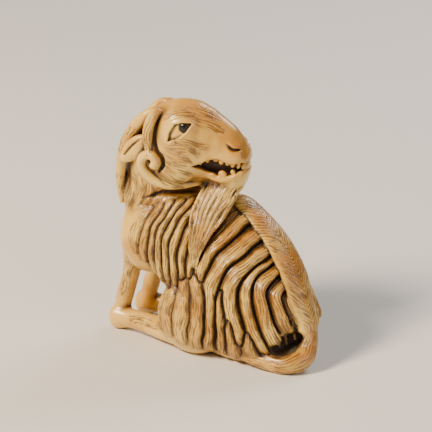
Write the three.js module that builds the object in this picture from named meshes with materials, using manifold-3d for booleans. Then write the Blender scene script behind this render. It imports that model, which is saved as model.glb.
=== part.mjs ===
// A carved ivory netsuke: a seated, bearded goat that looks back over its left shoulder.
// Millimetres, +Z up. The chest faces -X, the left flank faces -Y, and the base is flat at Z = 0.
import * as THREE from "three";
import { mergeVertices } from "three/addons/utils/BufferGeometryUtils.js";
import Module from "manifold-3d";

const wasm = await Module();
wasm.setup();

// ---------- driving dimensions ----------
const bodyShift = [-1.265, 0.087, 0]; // brings the middle of the finished carving over the origin
const headPose = { place: [-5.7, -3, 37.3], yaw: 12, pitch: 8 };
const legSpread = 3.6; // of each front leg from the middle plane
const farLegBack = 1; // the right front leg stands this much further back
// a lock of hair: its half width, height and depth in the skin, and how much of them is left at its ends
const lock = { half: 1.4, high: 1.05, sunk: 0.1, tip: 0.35 };
const lockFacets = { near: { around: 5, along: 4 }, far: { around: 4, along: 3 } };
const pupil = { radius: 0.95, bulge: 0.5, gap: 0.3 };
const cordHole = { large: 2.7, small: 1.9, start: 1.2, apart: 9, deep: 6 };
const ivory = { color: 0xe3c48c, roughness: 0.35, metalness: 0 };
const darkHorn = { color: 0x24140c, roughness: 0.2, metalness: 0 };

const vec = (x, y, z) => new THREE.Vector3(x, y, z);
const flanks = [-1, 1]; // -1 is the goat's left flank, +1 its right one

// ---------- from three.js shapes to solids and back ----------
function solidOf(geometry) {
  const bare = new THREE.BufferGeometry();
  bare.setAttribute("position", geometry.getAttribute("position"));
  if (geometry.index) bare.setIndex(geometry.index);
  const { attributes, index } = mergeVertices(bare, 1e-4);
  const vertProperties = attributes.position.array;
  const triVerts = new Uint32Array(index.array);
  return new wasm.Manifold(new wasm.Mesh({ numProp: 3, vertProperties, triVerts }));
}
function geometryOf(solid) {
  const { vertProperties, triVerts } = solid.getMesh();
  const geometry = new THREE.BufferGeometry();
  geometry.setAttribute("position", new THREE.BufferAttribute(new Float32Array(vertProperties), 3));
  geometry.setIndex(new THREE.BufferAttribute(new Uint32Array(triVerts), 1));
  geometry.computeVertexNormals();
  return geometry;
}
const join = (solids) => solids.reduce((all, next) => all.add(next));
// the outer shell alone, so that no speck of air stays shut in between two locks
const larger = (one, other) => (other.volume() > one.volume() ? other : one);
const filled = (solid) => solid.decompose().reduce(larger);

// a round bar bent along its stations, each [x, y, z, half width, half height]; tips swell its two ends
function sweep(stations, options = {}) {
  const { up = vec(0, 0, 1), facing, around = 12, along = 12, tips = [0.4, 0.4], keel = 0 } = options;
  const path = new THREE.CatmullRomCurve3(stations.map(([x, y, z]) => vec(x, y, z)), false, "centripetal");
  const sizes = stations.map(([, , , wide, tall]) => vec(wide, tall, 0));
  const size = new THREE.CatmullRomCurve3(sizes, false, "catmullrom", 0.4);
  const bar = new THREE.CylinderGeometry(1, 1, 1, around, along);
  const spot = bar.attributes.position;
  for (let i = 0; i < spot.count; i++) {
    const t = 0.5 + spot.getY(i);
    const [across, high] = [spot.getX(i), spot.getZ(i)];
    const ahead = facing ?? path.getTangent(t);
    const side = ahead.clone().cross(typeof up === "function" ? up(t) : up).normalize();
    const rise = side.clone().cross(ahead);
    const half = size.getPoint(t);
    const place = path.getPoint(t);
    place.addScaledVector(side, across * half.x * (1 - keel * high)).addScaledVector(rise, high * half.y);
    const onCap = Math.hypot(across, high) < 0.5;
    if (onCap) place.addScaledVector(ahead, (t < 0.5 ? -tips[0] : tips[1]) * half.y);
    spot.setXYZ(i, place.x, place.y, place.z);
  }
  return solidOf(bar);
}
// an ellipsoid turned about Y by so many degrees
function blob(centre, radii, { turn = 0, around = 8, along = 5 } = {}) {
  const ball = new THREE.SphereGeometry(1, around, along);
  ball.rotateX(Math.PI / 2);
  ball.scale(...radii);
  ball.rotateY(THREE.MathUtils.degToRad(turn));
  ball.translate(...centre);
  return solidOf(ball);
}

// ---------- trunk and limbs ----------
function trunk() {
  const barrel = sweep(
    [
      [-15.3, 0, 21, 4.2, 5],
      [-12.2, 0, 21.3, 7.0, 7.9],
      [-7.5, 0, 20.8, 8.8, 9.6],
      [-1, 0, 17.8, 9.9, 10.9],
      [5, 0, 13.3, 10.5, 10.7],
      [9.6, 0, 9.6, 10.1, 9.0],
      [13, 0, 6.6, 8.6, 7.4],
      [15.6, 0, 4.5, 5, 5],
    ],
    { around: 14, along: 8, keel: 0.14 },
  );
  const rump = blob([11.2, 0, 6.8], [8.3, 9.4, 7.8], { around: 14, along: 7 });
  const neck = sweep(
    [
      [-10, 0, 21, 7.3, 7.3],
      [-12.0, -0.4, 26.5, 6.2, 6.3],
      [-12.0, -1.5, 33, 4.9, 5.4],
      [-11.0, -2.6, 37, 4, 5],
    ],
    { up: vec(1, 0, 0), around: 11, along: 4 },
  );
  const pairs = flanks.flatMap((flank) => [
    blob([-0.3, flank * 6.8, 7.1], [7.2, 4.7, 7.2], { around: 12, along: 7 }), // haunch
    blob([8.2, flank * 4.6, 5.6], [10.4, 5, 6], { around: 9, along: 5 }), // hip
    blob([-11.6, flank * 4.6, 19.3], [5.5, 4.1, 6.7], { around: 9, along: 6 }), // shoulder
  ]);
  const nape = sweep(
    [
      [-14.4, -3.2, 35, 1.6, 1.6],
      [-15.4, -3.8, 29, 1.8, 1.8],
      [-14.8, -4.4, 24, 1.2, 1.2],
    ],
    { up: vec(1, 0, 0), around: 8, along: 4 },
  );
  const withers = sweep(
    [
      [-4, 0.3, 23.6, 2.8, 2.2],
      [5.5, 0.5, 23.6, 2.8, 2.6],
      [13, 0, 16.6, 2.4, 2],
    ],
    { around: 8, along: 5 },
  );
  const belly = blob([3, 0, 3.8], [9, 7.5, 5.4], { around: 12, along: 6 });
  return join([barrel, rump, neck, nape, withers, belly, ...pairs]);
}
function frontLeg(flank) {
  const back = flank > 0 ? farLegBack : 0;
  const y = flank * legSpread;
  return sweep(
    [
      [-13.2 + back, y * 1.15, 19, 3.2, 3.4],
      [-15.1 + back, y * 1.1, 15, 2.2, 2.2],
      [-16.1 + back, y, 11, 1.6, 1.6],
      [-17.3 + back, y, 7, 1.7, 1.6],
      [-17.9 + back, y, 4.5, 1.6, 1.5],
      [-18.2 + back, y, 2.2, 2.0, 2.0],
    ],
    { up: vec(-1, 0, 0), around: 8, along: 6 },
  );
}
function hindFoot(flank) {
  return sweep(
    [
      [-2, flank * 6.4, 2.8, 3.0, 2.6],
      [-7, flank * 6.0, 2.6, 2.2, 2.1],
      [-11.5, flank * 5.2, 2.5, 1.8, 1.9],
      [-15.4, flank * 4.6, 2.4, 1.7, 1.8],
      [-18.4, flank * 4.2, 2.2, 2.3, 2.4],
    ],
    { around: 8, along: 5, tips: [0.3, 0.7] },
  );
}
function tail() {
  return sweep(
    [
      [17.6, -0.5, 13.5, 1.3, 1.3],
      [18.9, -0.6, 9, 1.6, 1.6],
      [20.3, -1.6, 5.0, 1.8, 1.9],
      [20.7, -4.1, 2.4, 1.9, 2.0],
      [19.0, -6.5, 1.7, 1.8, 1.8],
      [15.2, -7.3, 1.7, 1.5, 1.5],
      [11.6, -7.4, 1.9, 1.2, 1.2],
      [8, -7.2, 2.2, 0.6, 0.7],
    ],
    { up: vec(0.6, -1, 0.3), around: 7, along: 10 },
  );
}

// ---------- head, in its own frame: x to the nose, z to the crown ----------
const turn = THREE.MathUtils.degToRad(headPose.yaw);
const nod = THREE.MathUtils.degToRad(headPose.pitch);
const forward = vec(Math.cos(turn) * Math.cos(nod), Math.sin(turn) * Math.cos(nod), -Math.sin(nod));
const away = vec(0, 0, 1).cross(forward).normalize();
const headFrame = new THREE.Matrix4()
  .makeBasis(forward, away, forward.clone().cross(away))
  .setPosition(...headPose.place);
const onHead = (solid) => solid.transform(headFrame.elements);
const flat = { up: vec(0, 1, 0), around: 8, along: 6 };
const onSide = (line, side) => line.map(([x, y, ...rest]) => [x, side * y, ...rest]);

function skull() {
  const shell = sweep(
    [
      [-6.3, 0, 0.5, 3.4, 4.6],
      [-4, 0, 0.7, 4.8, 6.6],
      [-1, 0, 0.75, 5.5, 7.9],
      [2, 0, 1.0, 5.4, 8.0],
      [4.5, 0, 1.1, 4.7, 7.3],
      [7, 0, 1.0, 4.0, 6.3],
      [9.7, 0, 0.1, 3.6, 5.8],
      [11.6, 0, -0.7, 3.2, 4.8],
      [12.6, 0, -1.0, 2.5, 3.7],
    ],
    { facing: vec(1, 0, 0), around: 12, along: 8, tips: [0.3, 0.25] },
  );
  const brows = flanks.map((side) => blob([1, side * 3.8, 6.1], [3, 1.3, 1.3], { turn: 15 }));
  return join([shell, ...brows]);
}
function mouth() {
  const outline = new THREE.Shape();
  outline.moveTo(4.2, -1.7);
  outline.bezierCurveTo(6, -0.2, 7.2, 1.2, 9.6, 0.3);
  outline.lineTo(15, 0.3);
  outline.lineTo(15, -0.9);
  outline.bezierCurveTo(12, -1.4, 10, -4.4, 4.2, -1.7);
  const slot = new THREE.ExtrudeGeometry(outline, { depth: 14, bevelEnabled: false, curveSegments: 5 });
  slot.translate(0, 0, -7);
  slot.rotateX(Math.PI / 2);
  const tongueLine = [[3, 0, -1.6, 2.4, 2.2], [7.5, 0, -1.4, 2.1, 2.2], [11, 0, -1.2, 1.4, 1.5]];
  const tongue = sweep(tongueLine, { around: 8, along: 4 });
  return { slot: solidOf(slot), tongue };
}
function teeth(side) {
  const upper = [[5.8, -0.3, 3.5], [7.6, 0.4, 3.2], [9.2, 0.3, 3], [10.6, 0.1, 2.7], [11.9, 0, 1.9]];
  const lower = [[7.6, -2.2, 2.9], [9.2, -2.1, 2.7], [11, -1.6, 2.2]];
  const facets = { around: 4, along: 3 };
  return [...upper, ...lower].map(([x, z, y]) => blob([x, side * y, z], [0.6, 0.55, 0.75], facets));
}
function eye(side) {
  const tiltUp = { turn: -50 };
  const socket = blob([1.3, side * 5.5, 4.35], [2.6, 0.8, 1.25], tiltUp);
  const ball = blob([1.3, side * 4.7, 4.35], [2.3, 0.85, 1.05], tiltUp);
  const lower = [[-1, 4.6, 1.9, 0.35, 0.8], [1.4, 4.8, 3.0, 0.4, 0.9], [3.4, 4.4, 6.3, 0.35, 0.8]];
  const upper = [[-1, 4.6, 1.9, 0.35, 0.8], [0.1, 4.8, 5.4, 0.4, 0.9], [3.4, 4.4, 6.5, 0.35, 0.8]];
  const lids = [lower, upper].map((line) => sweep(onSide(line, side), { ...flat, around: 4, along: 4 }));
  return { socket, raised: [ball, ...lids] };
}
function pupilAt(side, grown = 0) {
  const { radius, bulge } = pupil;
  const r = radius + grown;
  return blob([1.7, side * 5.25, 5.0], [r, bulge + grown, r], { along: 4 });
}
function nostril(side) {
  const line = [[9.6, 3.2, 3.3, 0.3, 0.45], [10.9, 3.1, 2.4, 0.35, 0.5], [12.3, 2.5, 3.3, 0.3, 0.45]];
  return sweep(onSide(line, side), { ...flat, around: 6, along: 5 });
}
function horn(side) {
  // the left horn lies back against the turned neck, the right one runs into it
  const root = [[-2.6, 6.2, 1.2], [-4.6, 5, 1.5], [-6.8, 1.7, 1.5]];
  const left = [[-9.0, -3, 1.25, 2.4], [-9.9, -7.4, 1.1, 1.4], [-9.8, -11, 0.8, 0.8], [-9.4, -13.4, 0.35, 0.5]];
  const right = [[-8.2, -2.5, 1.3, 5.0], [-8.6, -6.5, 1.1, 6.0], [-8.3, -9.5, 0.8, 6.4], [-7.9, -11.5, 0.35, 6.4]];
  const rooted = root.map(([x, z, r], i) => [x, z, r, 2.8 + 0.3 * i]);
  const line = [...rooted, ...(side < 0 ? left : right)].map(([x, z, r, y]) => [x, y, z, r, r * 0.85]);
  return sweep(onSide(line, side), { ...flat, around: 7, along: 8 });
}
function ear(side) {
  const leaf = [
    [-4.2, 4.6, 1.2, 1.0, 0.8],
    [-5.6, 5.0, 0.1, 1.8, 0.8],
    [-7.2, 5.1, -1.5, 1.9, 0.8],
    [-8.4, 5.0, -3.1, 1.2, 0.7],
  ];
  const fold = [[-5.2, 5.9, 0.7, 0.35, 0.5], [-6.4, 6, -0.5, 0.4, 0.5], [-7.6, 5.9, -1.9, 0.3, 0.4]];
  const shape = (line) => sweep(onSide(line, side), { ...flat, around: 7, along: 5 });
  return side < 0 ? shape(leaf).subtract(shape(fold)) : shape(leaf);
}
function forelock(side) {
  const line = [
    [-3.0, 2.3, 7.2, 0.7, 0.6],
    [-4.1, 4.2, 5.3, 0.9, 0.8],
    [-4.3, 4.9, 2.5, 1.0, 0.8],
    [-3.9, 5.1, -0.6, 0.5, 0.6],
  ];
  return sweep(onSide(line, side), { ...flat, around: 6, along: 5 });
}
function curl(side) {
  const line = [
    [4, 3.6, -6.1, 0.5, 0.6],
    [-1.3, 4.6, -6.2, 0.8, 0.8],
    [-3.9, 5.1, -4.8, 1.0, 0.9],
    [-4.8, 5.3, -2.8, 1.0, 0.9],
    [-4.0, 5.4, -1.3, 0.9, 0.9],
    [-2.6, 5.5, -1.4, 0.9, 0.9],
    [-2.1, 5.6, -2.9, 0.9, 0.9],
    [-2.8, 5.6, -3.6, 0.8, 0.9],
  ];
  return sweep(onSide(line, side), { ...flat, around: 6, along: side < 0 ? 12 : 9 });
}

// ---------- locks of the coat, laid on a flank by casting rays at it from the side ----------
const caster = new THREE.Raycaster();
function lay(skin, line, flank, scale = 1) {
  const { around, along } = flank < 0 ? lockFacets.near : lockFacets.far;
  const guide = new THREE.CatmullRomCurve3(line.map(([x, z]) => vec(x, 0, z)), false, "centripetal");
  const hits = guide.getPoints(along).flatMap(({ x, z }) => {
    caster.set(vec(x, flank * 40, z), vec(0, -flank, 0));
    return caster.intersectObject(skin).slice(0, 1);
  });
  const last = hits.length - 1;
  const normals = hits.map((_, i) => {
    const near = [Math.max(i - 1, 0), i, Math.min(i + 1, last)];
    return near.reduce((sum, k) => sum.add(hits[k].face.normal), vec(0, 0, 0)).normalize();
  });
  const stations = hits.map(({ point }, i) => {
    const full = Math.min(1, lock.tip + 2.2 * Math.min(i, last - i) / last);
    const p = point.clone().addScaledVector(normals[i], -lock.sunk);
    return [p.x, p.y, p.z, lock.half * scale * full, lock.high * full];
  });
  const up = (t) => {
    const i = Math.min(Math.floor(t * last), last - 1);
    return normals[i].clone().lerp(normals[i + 1], t * last - i);
  };
  return sweep(stations, { up, around, along, tips: [0.8, 0.8] });
}
// count lines spread evenly from the first to the last
function fan([first, last], count) {
  return Array.from({ length: count }, (_, i) => {
    const mix = i / (count - 1);
    return first.map(([x, z], k) => [x + (last[k][0] - x) * mix, z + (last[k][1] - z) * mix]);
  });
}
const flankLocks = [
  [[6.2, 26.2], [5.6, 23.2], [3.2, 19.8], [3.0, 16.4]],
  [[9.0, 24.0], [8.2, 21.2], [5.6, 17.6], [5.0, 14.4], [5.5, 10.6]],
  [[11.8, 20.8], [9.9, 18.4], [8.4, 14.8], [9.3, 11.2], [10.8, 6.4]],
  [[11.6, 18.4], [11.1, 15.0], [12.4, 11.0], [15, 4.8]],
  [[13.0, 19.2], [13.1, 15.6], [14.4, 10.8], [16.8, 5.6]],
  [[14.2, 16], [16.2, 11.6], [18.2, 7.6]],
  [[15.6, 15.4], [17.4, 11.6], [18.8, 8.6]],
];
const hemLocks = [
  [[7.2, 15], [6.2, 9.4], [3.8, 3.8]],
  [[9.2, 9.8], [8.6, 6.2], [7.6, 3.2]],
  [[11.5, 9.4], [11.5, 6.6], [11.2, 3.4]],
];
const chestEdges = [[[-6.4, 25.4], [-8.3, 20.8], [-8.2, 16.8]], [[2.7, 26], [0.9, 19.6], [0.5, 15.2]]];
const haunchEdges = [[[-4.6, 12], [-6.3, 7.6], [-5.2, 2.8]], [[4.2, 14], [4.9, 9], [4.2, 5.4]]];
const shoulderEdges = [[[-11, 24], [-12.4, 21.4], [-12.8, 18.6]], [[-8.6, 25], [-9.8, 21.5], [-10.2, 18]]];
const beardEdges = [[[-1.6, 27.6], [0, 24.6], [0.6, 22.2]], [[4.6, 28.4], [3.6, 25], [1.6, 22]]];

// ---------- underside ----------
function cordHoles() {
  const { large, small, start, apart, deep } = cordHole;
  const well = (radius, x) => {
    const bore = new THREE.CylinderGeometry(radius, radius, 2 * deep, 12);
    bore.rotateX(Math.PI / 2);
    bore.translate(x, 0, 0);
    return solidOf(bore);
  };
  const reach = apart + small;
  const tunnel = new THREE.CylinderGeometry(small, small, reach, 8);
  tunnel.rotateZ(Math.PI / 2);
  tunnel.translate(reach / 2, 0, deep - small);
  return join([well(large, 0), well(small, apart), solidOf(tunnel)]).translate([start, 0, 0]);
}
function floorBlock() {
  const block = new THREE.BoxGeometry(80, 60, 10);
  block.translate(0, 0, -5);
  return solidOf(block);
}

// ---------- the carving ----------
function carving() {
  const body = trunk();
  const skin = new THREE.Mesh(geometryOf(body));
  const ridge = sweep(
    [
      [2.4, 0.8, 27.6, 1.4, 0.8],
      [5, 0.8, 27.4, 2, 1],
      [9, 0.8, 24.6, 2.2, 1],
      [13.2, 0.7, 20.6, 2.2, 1],
      [16.2, 0.3, 16.2, 2.1, 1],
      [18, -0.3, 12, 1.9, 1.1],
    ],
    { up: vec(0.6, 0, 0.8), around: 10, along: 9 },
  );
  const coatOf = (flank, lines, scale) => lines.map((line) => lay(skin, line, flank, scale));
  const coat = [
    ...coatOf(-1, [...flankLocks, ...hemLocks, ...fan(haunchEdges, 5)]),
    ...coatOf(-1, [...fan(chestEdges, 6), ...fan(shoulderEdges, 2)], 0.8),
    ...coatOf(1, [...flankLocks.filter((_, i) => i % 2 === 0), ...fan(haunchEdges, 4)], 1.3),
    ...coatOf(1, fan(chestEdges, 4), 1.2),
  ];
  const hollow = blob([18.4, -7.2, 6.4], [3.6, 2.8, 2.3], { turn: -35, around: 10 });
  const dressed = join([body, ridge, ...coat]).subtract(hollow);

  const { slot, tongue } = mouth();
  const eyes = flanks.map(eye);
  const cuts = [slot, ...eyes.map(({ socket }) => socket), ...flanks.map(nostril)];
  const face = skull().subtract(join(cuts));
  const added = [tongue, ...eyes.flatMap(({ raised }) => raised), ...teeth(-1)];
  const sockets = join(flanks.map((side) => pupilAt(side, pupil.gap)));
  const bare = join([face, ...added]).subtract(sockets);
  const trimmings = flanks.flatMap((side) => [horn, ear, forelock, curl].map((shape) => shape(side)));
  const head = onHead(join([bare, ...trimmings]));

  const beardMass = sweep(
    [
      [2.4, -1.4, 31.5, 3.8, 2.4],
      [2.2, -4.2, 28, 3.2, 1.7],
      [1.8, -6.8, 25, 2.2, 1.2],
      [1.2, -8.6, 22, 0.8, 0.6],
    ],
    { up: vec(0, -1, 0.6), around: 10, along: 6 },
  );
  const beardSkin = new THREE.Mesh(geometryOf(beardMass.add(body)));
  const beard = join([beardMass, ...fan(beardEdges, 3).map((line) => lay(beardSkin, line, -1, 0.75))]);

  const limbs = flanks.flatMap((flank) => [frontLeg(flank), hindFoot(flank)]);
  const whole = join([dressed, head, beard, tail(), ...limbs]);
  return filled(whole.subtract(floorBlock()).subtract(cordHoles()));
}

const netsuke = new THREE.Group();
netsuke.name = "netsuke";
netsuke.position.set(...bodyShift);
function put(name, solid, look) {
  const mesh = new THREE.Mesh(geometryOf(solid), new THREE.MeshStandardMaterial(look));
  mesh.name = name;
  netsuke.add(mesh);
}
put("goat", carving(), ivory);
put("pupil_right", onHead(pupilAt(-1)), darkHorn);
put("pupil_left", onHead(pupilAt(1)), darkHorn);

export default netsuke;
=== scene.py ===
import math
import time

import bpy
import numpy as np
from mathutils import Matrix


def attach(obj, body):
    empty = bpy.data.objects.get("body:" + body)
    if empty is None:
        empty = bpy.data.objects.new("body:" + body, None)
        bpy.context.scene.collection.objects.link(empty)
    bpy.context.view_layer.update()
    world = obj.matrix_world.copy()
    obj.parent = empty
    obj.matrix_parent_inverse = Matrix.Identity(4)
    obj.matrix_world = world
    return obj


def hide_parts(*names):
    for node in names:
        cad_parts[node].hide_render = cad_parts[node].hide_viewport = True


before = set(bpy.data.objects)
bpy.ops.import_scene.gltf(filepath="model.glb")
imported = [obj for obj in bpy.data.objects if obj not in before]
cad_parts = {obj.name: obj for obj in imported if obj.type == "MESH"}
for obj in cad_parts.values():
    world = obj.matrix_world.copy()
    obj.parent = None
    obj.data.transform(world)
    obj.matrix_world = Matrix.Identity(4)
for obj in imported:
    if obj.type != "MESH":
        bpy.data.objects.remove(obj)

import openvdb
from mathutils import Vector
from mathutils.bvhtree import BVHTree

started = time.time()
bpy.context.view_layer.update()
mm = 0.001
flanks = (-1, 1)  # -1 is the goat's left flank, +1 its right one

# the carving is shaped in millimetres in its own frame, and shifted onto the part's origin at the end
carving = {
    "shift": (-1.265, 0.087, 0.0),
    "voxel": 0.16,
    "low": (-23.0, -14.5, -2.5),
    "high": (25.0, 14.0, 48.5),
    "band": 9,  # voxels on each side of a skin in which distances are kept
    "mostTriangles": 190000,
    "head": {"place": (-5.7, -3.0, 37.3), "yaw": 12.0, "pitch": 8.0},
}


def report(stage):
    print(f"{time.time() - started:6.1f} s  {stage}")


# curves, bars and balls are plain arrays of points and triangles
def curvePoint(spots, t, tension=None):
    # centripetal Catmull-Rom through the spots, or a uniform one when a tension is given
    spots = np.asarray(spots, float)
    reach = min(max(t, 0.0), 1.0) * (len(spots) - 1)
    i = min(int(reach), len(spots) - 2)
    u = reach - i
    before = spots[i - 1] if i > 0 else 2 * spots[0] - spots[1]
    after = spots[i + 2] if i + 2 < len(spots) else 2 * spots[-1] - spots[-2]
    a, b = spots[i], spots[i + 1]
    if tension is None:
        gaps = [max(np.linalg.norm(q - p) ** 0.5, 1e-4) for p, q in ((before, a), (a, b), (b, after))]
        g0, g1, g2 = gaps
        start = ((a - before) / g0 - (b - before) / (g0 + g1) + (b - a) / g1) * g1
        end = ((b - a) / g1 - (after - a) / (g1 + g2) + (after - b) / g2) * g1
    else:
        start, end = tension * (b - before), tension * (after - a)
    return a + u * start + u * u * (-3 * a + 3 * b - 2 * start - end) + u ** 3 * (2 * a - 2 * b + start + end)


def unit(v):
    return v / max(np.linalg.norm(v), 1e-9)


def woven(rings, around):
    # the triangles of so many rings of points and a pole at each end, the first ring's pole first
    here = np.arange(around)
    nextOne = (here + 1) % around
    faces = []
    for r in range(rings - 1):
        a, b = r * around, (r + 1) * around
        faces.append(np.stack([a + here, a + nextOne, b + nextOne], 1))
        faces.append(np.stack([a + here, b + nextOne, b + here], 1))
    last, pole = (rings - 1) * around, rings * around
    faces.append(np.stack([np.full(around, pole), nextOne, here], 1))
    faces.append(np.stack([np.full(around, pole + 1), last + here, last + nextOne], 1))
    return np.vstack(faces)


def bar(stations, up=(0, 0, 1), facing=None, around=40, along=48, tips=(0.4, 0.4), keel=0.0):
    # a bent round bar; each station is x, y, z, half width, half height
    stations = np.asarray(stations, float)
    spots, sizes = stations[:, :3], stations[:, 3:5]
    angles = np.linspace(0, 2 * math.pi, around, endpoint=False)
    across, high = np.cos(angles), np.sin(angles)
    rings, ends = [], []
    for k in range(along + 1):
        t = k / along
        ahead = np.asarray(facing, float) if facing is not None else unit(
            curvePoint(spots, t + 1e-3) - curvePoint(spots, t - 1e-3))
        side = unit(np.cross(ahead, up))
        rise = np.cross(side, ahead)
        half = curvePoint(sizes, t, 0.4)
        centre = curvePoint(spots, t)
        lean = across * half[0] * (1 - keel * high)
        rings.append(centre + np.outer(lean, side) + np.outer(high * half[1], rise))
        if k in (0, along):
            ends.append((centre, ahead, half))
    # each end closes in a rounded dome
    domed = 5
    for (centre, ahead, half), tip, way in zip(ends, tips, (-1, 1)):
        edge = rings[0] if way < 0 else rings[-1]
        caps = []
        for j in range(1, domed):
            angle = 0.5 * math.pi * j / domed
            push = ahead * tip * half[1] * math.sin(angle) * way
            caps.append(centre + (edge - centre) * math.cos(angle) + push)
        rings = caps[::-1] + rings if way < 0 else rings + caps
    poles = [centre + ahead * tip * half[1] * way
             for (centre, ahead, half), tip, way in zip(ends, tips, (-1, 1))]
    return np.vstack(rings + [np.array(poles)]), woven(len(rings), around)


def turnedY(degrees):
    c, s = math.cos(math.radians(degrees)), math.sin(math.radians(degrees))
    return np.array([[c, 0, -s], [0, 1, 0], [s, 0, c]])


def ball(centre, radii, turn=0.0, rings=24, around=36):
    # an ellipsoid, turned about the Y axis by so many degrees
    bow = np.linspace(0, math.pi, rings + 1)[1:-1]
    angles = np.linspace(0, 2 * math.pi, around, endpoint=False)
    points = [[math.sin(b) * math.cos(a), math.sin(b) * math.sin(a), math.cos(b)]
              for b in bow for a in angles]
    points = np.array(points + [[0, 0, 1], [0, 0, -1]]) * radii
    points = points @ turnedY(turn) + centre
    return points, woven(len(bow), around)[:, ::-1]


def prism(outline, near, far):
    # an outline of x, z points drawn out along Y from near to far
    outline = np.asarray(outline, float)
    n = len(outline)
    middleX, middleZ = outline.mean(0)
    points = np.array([[x, y, z] for y in (near, far) for x, z in outline] +
                      [[middleX, y, middleZ] for y in (near, far)])
    here = np.arange(n)
    nextOne = (here + 1) % n
    faces = [np.stack([here, nextOne, n + nextOne], 1), np.stack([here, n + nextOne, n + here], 1),
             np.stack([np.full(n, 2 * n), nextOne, here], 1),
             np.stack([np.full(n, 2 * n + 1), n + here, n + nextOne], 1)]
    return points, np.vstack(faces)


def onSide(line, side):
    return [(x, side * y, *rest) for x, y, *rest in line]


def headBasis():
    yaw, pitch = (math.radians(carving["head"][name]) for name in ("yaw", "pitch"))
    ahead = np.array([math.cos(yaw) * math.cos(pitch), math.sin(yaw) * math.cos(pitch), -math.sin(pitch)])
    away = unit(np.cross((0, 0, 1), ahead))
    return np.array([ahead, away, np.cross(ahead, away)])


def onHead(shape):
    points, faces = shape
    return points @ headBasis() + carving["head"]["place"], faces


class Block:
    # signed distances to the carved skin on a grid of voxels, below zero inside the ivory
    def __init__(self):
        self.voxel = carving["voxel"]
        self.low = np.floor(np.array(carving["low"]) / self.voxel).astype(int)
        self.size = np.ceil(np.array(carving["high"]) / self.voxel).astype(int) - self.low + 1
        self.band = carving["band"] * self.voxel
        self.depth = np.full(self.size, self.band, np.float32)

    def measured(self, shape):
        # distances to one closed shape, and the part of the block that they fill
        points, faces = shape
        grid = openvdb.FloatGrid.createLevelSetFromPolygons(
            np.ascontiguousarray(points, np.float32), triangles=np.ascontiguousarray(faces, np.uint32),
            transform=openvdb.createLinearTransform(voxelSize=self.voxel), halfWidth=carving["band"])
        low, high = (np.array(corner) for corner in grid.evalActiveVoxelBoundingBox())
        low, high = np.maximum(low, self.low), np.minimum(high, self.low + self.size - 1)
        values = np.empty(tuple(high - low + 1), np.float32)
        grid.copyToArray(values, ijk=tuple(int(v) for v in low))
        first = low - self.low
        return values, tuple(slice(a, a + n) for a, n in zip(first, values.shape))

    def add(self, shape, blend=0.3):
        values, part = self.measured(shape)
        self.depth[part] = softLeast(self.depth[part], values, blend)

    def cut(self, shape, blend=0.15):
        values, part = self.measured(shape)
        self.depth[part] = -softLeast(-self.depth[part], values, blend)

    def engrave(self, shape, deep, rim, rimAway=0.3, rimWide=0.28):
        # sinks the skin inside the shape evenly, and leaves a soft raised rim around it
        values, part = self.measured(shape)
        was = self.depth[part]
        raised = was - rim * np.exp(-((values - rimAway) / rimWide) ** 2)
        self.depth[part] = np.maximum(raised, np.minimum(raised + deep, -values))

    def at(self, points, values=None):
        # the block's distances, or other values kept like them, between the voxels
        values = self.depth if values is None else values
        place = points / self.voxel - self.low
        first = np.clip(np.floor(place).astype(int), 0, self.size - 2)
        f = place - first
        total = np.zeros(len(points))
        for corner in np.ndindex(2, 2, 2):
            weight = np.prod(np.where(corner, f, 1 - f), axis=1)
            total += weight * values[tuple((first + corner).T)]
        return total

    def skin(self):
        grid = openvdb.FloatGrid(self.band)
        grid.copyFromArray(self.depth, ijk=tuple(int(v) for v in self.low))
        grid.transform = openvdb.createLinearTransform(voxelSize=self.voxel)
        return grid.convertToQuads()


def softLeast(one, other, blend):
    # the smaller of two distances, with the crease between them rounded over so many millimetres
    mix = np.clip(0.5 + 0.5 * (other - one) / blend, 0, 1)
    return other + (one - other) * mix - blend * mix * (1 - mix)


trunk = {
    "barrel": [(-15.3, 0, 21, 4.2, 5), (-12.2, 0, 21.3, 7, 7.9), (-7.5, 0, 20.8, 8.8, 9.6),
               (-1, 0, 17.8, 9.9, 10.9), (5, 0, 13.3, 10.5, 10.7), (9.6, 0, 9.6, 10.1, 9),
               (13, 0, 6.6, 8.6, 7.4), (15.6, 0, 4.5, 5, 5)],
    "keel": 0.14,
    "neck": [(-10, 0, 21, 7.3, 7.3), (-12, -0.4, 26.5, 6.2, 6.3), (-12, -1.5, 33, 4.9, 5.4),
             (-11, -2.6, 37, 4, 5)],
    "rump": ((11.2, 0, 6.8), (8.3, 9.4, 7.8)),
    "belly": ((3, 0, 3.8), (9, 7.5, 5.4)),
    "haunch": ((-0.3, 6.8, 7.1), (7.2, 4.7, 7.2)),
    "hip": ((8.2, 4.6, 5.6), (10.4, 5, 6)),
    "shoulder": ((-11.6, 4.6, 19.3), (5.5, 4.1, 6.7)),
    "nape": [(-14.4, -3.2, 35, 1.6, 1.6), (-15.2, -3.6, 31, 1.8, 1.8), (-15.4, -4.2, 27, 1.8, 1.6),
             (-14.8, -4.4, 24, 1.2, 1.2)],
    "withers": [(-4, 0.3, 23.4, 2.8, 2.2), (1, 0.5, 23.4, 2.8, 2.2), (5.5, 0.5, 23.0, 2.6, 2.2),
                (9.7, 0.3, 20.2, 2.4, 2.0), (13, 0, 16.4, 2.2, 1.8)],
    "blend": 1.1,
}
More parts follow.
